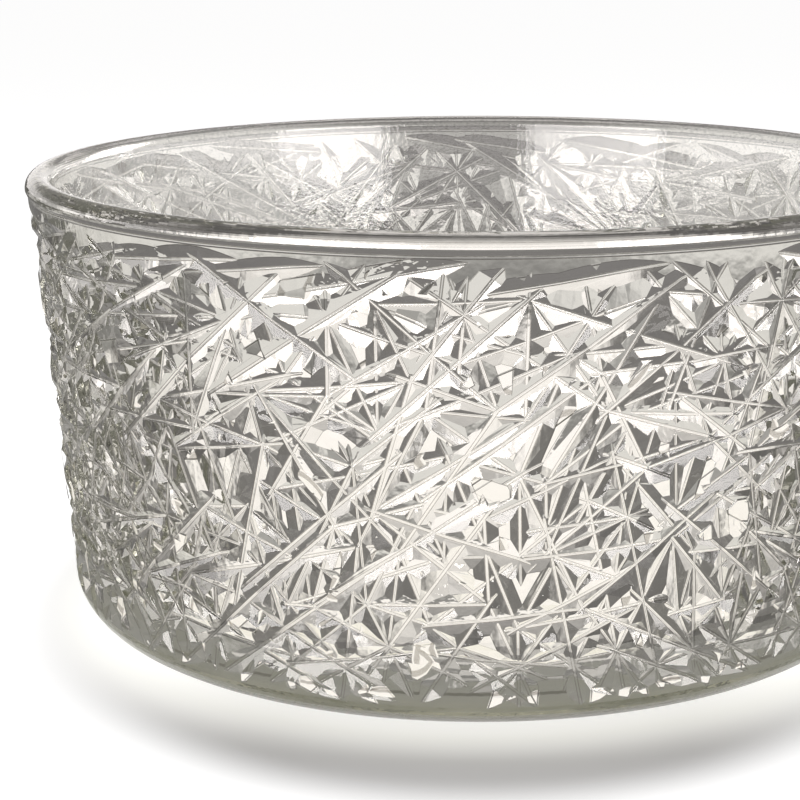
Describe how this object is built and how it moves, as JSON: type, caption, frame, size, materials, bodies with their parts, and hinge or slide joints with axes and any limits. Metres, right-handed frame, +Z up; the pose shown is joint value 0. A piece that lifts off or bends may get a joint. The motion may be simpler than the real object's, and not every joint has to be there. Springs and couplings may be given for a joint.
{
  "type": "glass bowl",
  "caption": "Large clear pressed-glass bowl with a rounded lip, a flared wall covered outside in star-cut facets and a flat standing ring, for holding water or for display.",
  "frame": {"origin": "centre of the ring that the bowl stands on, at the bottom of the bowl", "axes": "+Z up through the mouth; +X to the right and -Y towards the camera of the picture; the bowl is round, so X and Y differ only in where the star pattern starts"},
  "size_m": [0.457, 0.457, 0.225],
  "materials": {
    "clear_glass": "clear, fire-polished and glossy, with a faint grey-green tint in thick places"
  },
  "bodies": {
    "root": {"glass_bowl": "clear_glass"}
  },
  "joints": []
}
